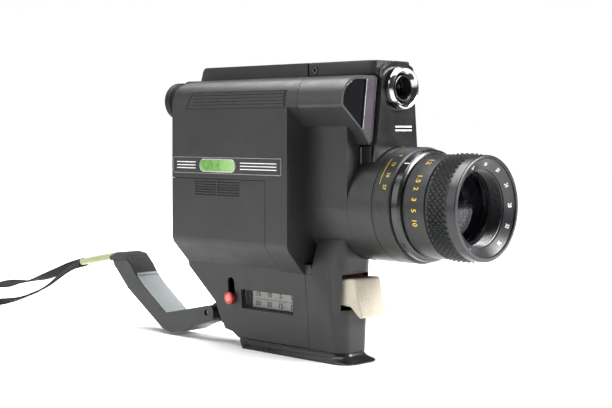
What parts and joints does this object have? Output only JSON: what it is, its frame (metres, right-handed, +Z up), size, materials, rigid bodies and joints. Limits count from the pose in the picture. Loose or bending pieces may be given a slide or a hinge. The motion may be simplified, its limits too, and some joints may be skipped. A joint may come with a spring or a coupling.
{
  "type": "hand-held cine camera",
  "caption": "Hand-held film camera with zoom lens, reflex finder, battery compartment, pistol grip with trigger, folding rear handle and wrist strap.",
  "frame": {"origin": "middle of the footprint of the camera and its handle, without the strap, on the surface the base stands on", "axes": "+Z up, +Y to the back, towards the operator's eye, so the lens looks along -Y; +X is the operator's left, the film door's side"},
  "size_m": [0.0882, 0.5475, 0.1784],
  "materials": {
    "body_plastic": "satin dark grey, fine moulded texture",
    "gloss_plastic": "polished black",
    "chrome": "bright chrome plating",
    "glass": "coated optical glass",
    "black_plastic": "matt black",
    "grey_plastic": "smooth grey",
    "rubber": "soft matt black",
    "lens_metal": "black anodised",
    "steel": "plain steel",
    "brass": "turned brass",
    "aluminium": "turned aluminium",
    "board": "circuit board lacquer",
    "cell_jacket": "printed metal jacket",
    "scale_card": "pale card",
    "red_plastic": "glossy red",
    "cream_plastic": "glossy cream",
    "webbing": "woven nylon webbing",
    "sleeve": "soft pale yellow-green vinyl"
  },
  "bodies": {
    "camera_body": {"base_plate": "gloss_plastic", "battery_cell_1": "cell_jacket", "battery_cell_2": "cell_jacket", "battery_cell_3": "cell_jacket", "battery_cell_4": "cell_jacket", "battery_contact_plate": "steel", "battery_holder": "black_plastic", "battery_spring_plate": "steel", "circuit_board": "board", "counter_box": "black_plastic", "counter_scale": "scale_card", "eyepiece_lens": "glass", "eyepiece_tube": "grey_plastic", "film_chassis": "body_plastic", "film_door_pin": "steel", "film_gate": "steel", "finder_bezel": "chrome", "finder_front_lens": "glass", "finder_tube": "black_plastic", "front_block": "gloss_plastic", "front_panel": "gloss_plastic", "grip_front_cover": "body_plastic", "grip_shell": "body_plastic", "handle_bracket": "black_plastic", "handle_pin": "steel", "index_ring": "lens_metal", "lens_barrel": "aluminium", "meter_housing": "body_plastic", "meter_window": "gloss_plastic", "motor": "steel", "rear_lens_cell": "glass", "side_shell": "body_plastic", "strap": "webbing", "top_cover_front": "body_plastic", "top_cover_rear": "body_plastic", "top_cover_screw": "steel", "trigger_pin": "steel", "tripod_bush": "brass"},
    "focus_group": {"focus_ring": "lens_metal", "front_ring": "lens_metal", "front_element": "glass"},
    "zoom_group": {"zoom_ring": "lens_metal", "zoom_ring_screw": "steel"},
    "zoom_cell": {"zoom_lens_cell": "glass"},
    "eyepiece_focus": {"dioptre_ring": "black_plastic", "eyecup": "rubber"},
    "release": {"trigger": "cream_plastic"},
    "run_lock": {"lock_knob": "red_plastic"},
    "film_counter": {"counter_pointer": "red_plastic"},
    "handle": {"handle_arm": "grey_plastic", "handle_cap": "black_plastic", "strap_sleeve": "sleeve"},
    "battery_lid": {"battery_door": "body_plastic"},
    "film_lid": {"film_door": "body_plastic"},
    "film_lid_catch": {"film_door_catch": "gloss_plastic"},
    "motor_rotor": {"motor_shaft": "brass"},
    "idler": {"idler_gear": "brass"},
    "shutter": {"shutter_disc": "black_plastic", "shutter_gear": "steel"},
    "take_up": {"takeup_spindle": "steel"}
  },
  "joints": [
    {"name": "focus_turn", "type": "hinge", "parent": "camera_body", "child": "focus_group", "pos_m": [0.0073, -0.13366, 0.0936], "axis": [0, 1, 0], "range_deg": [0, 120]},
    {"name": "zoom_turn", "type": "hinge", "parent": "camera_body", "child": "zoom_group", "pos_m": [0.0073, -0.10366, 0.0936], "axis": [0, 1, 0], "range_deg": [0, 90]},
    {"name": "zoom_travel", "type": "slide", "parent": "camera_body", "child": "zoom_cell", "axis": [0, 1, 0], "range_m": [0, 0.016]},
    {"name": "dioptre_turn", "type": "hinge", "parent": "camera_body", "child": "eyepiece_focus", "pos_m": [0.0058, 0.08934, 0.1572], "axis": [0, 1, 0], "range_deg": [-60, 60]},
    {"name": "trigger_pull", "type": "hinge", "parent": "camera_body", "child": "release", "pos_m": [-0.0067, -0.06166, 0.0496], "axis": [1, 0, 0], "range_deg": [0, 9], "stiffness_Nm_per_rad": 0.4, "springref_deg": -5.73},
    {"name": "run_lock_slide", "type": "slide", "parent": "camera_body", "child": "run_lock", "axis": [-0.0933, 0, 0.9956], "range_m": [0, 0.007]},
    {"name": "counter_travel", "type": "slide", "parent": "camera_body", "child": "film_counter", "axis": [0, 1, 0], "range_m": [0, 0.038]},
    {"name": "handle_fold", "type": "hinge", "parent": "camera_body", "child": "handle", "pos_m": [-0.0107, 0.05054, 0.0184], "axis": [1, 0, 0], "range_deg": [0, 50]},
    {"name": "battery_lid_swing", "type": "hinge", "parent": "camera_body", "child": "battery_lid", "pos_m": [-0.0276, 0.01734, 0.0526], "axis": [0, -1, 0], "range_deg": [0, 90]},
    {"name": "film_lid_swing", "type": "hinge", "parent": "camera_body", "child": "film_lid", "pos_m": [0.0223, 0.06584, 0.1061], "axis": [0, 0, 1], "range_deg": [0, 110]},
    {"name": "film_catch_slide", "type": "slide", "parent": "film_lid", "child": "film_lid_catch", "axis": [0, 0, 1], "range_m": [0, 0.008]},
    {"name": "shutter_spin", "type": "hinge", "parent": "camera_body", "child": "shutter", "pos_m": [-0.0077, -0.07496, 0.0936], "axis": [0, 1, 0], "continuous": true},
    {"name": "motor_spin", "type": "hinge", "parent": "camera_body", "child": "motor_rotor", "pos_m": [-0.0086, -0.03366, 0.0731], "axis": [0, 1, 0], "continuous": true},
    {"name": "idler_spin", "type": "hinge", "parent": "camera_body", "child": "idler", "pos_m": [-0.0102, -0.06766, 0.0827], "axis": [0, 1, 0], "continuous": true},
    {"name": "take_up_spin", "type": "hinge", "parent": "camera_body", "child": "take_up", "pos_m": [-0.013, -0.00716, 0.0876], "axis": [1, 0, 0], "continuous": true}
  ],
  "couplings": [
    {"joint": "zoom_travel", "follows": "zoom_turn", "m_per_rad": 0.01},
    {"joint": "idler_spin", "follows": "shutter_spin", "ratio": -1.2727},
    {"joint": "motor_spin", "follows": "shutter_spin", "ratio": 1.4},
    {"joint": "take_up_spin", "follows": "shutter_spin", "ratio": 0.07778}
  ]
}
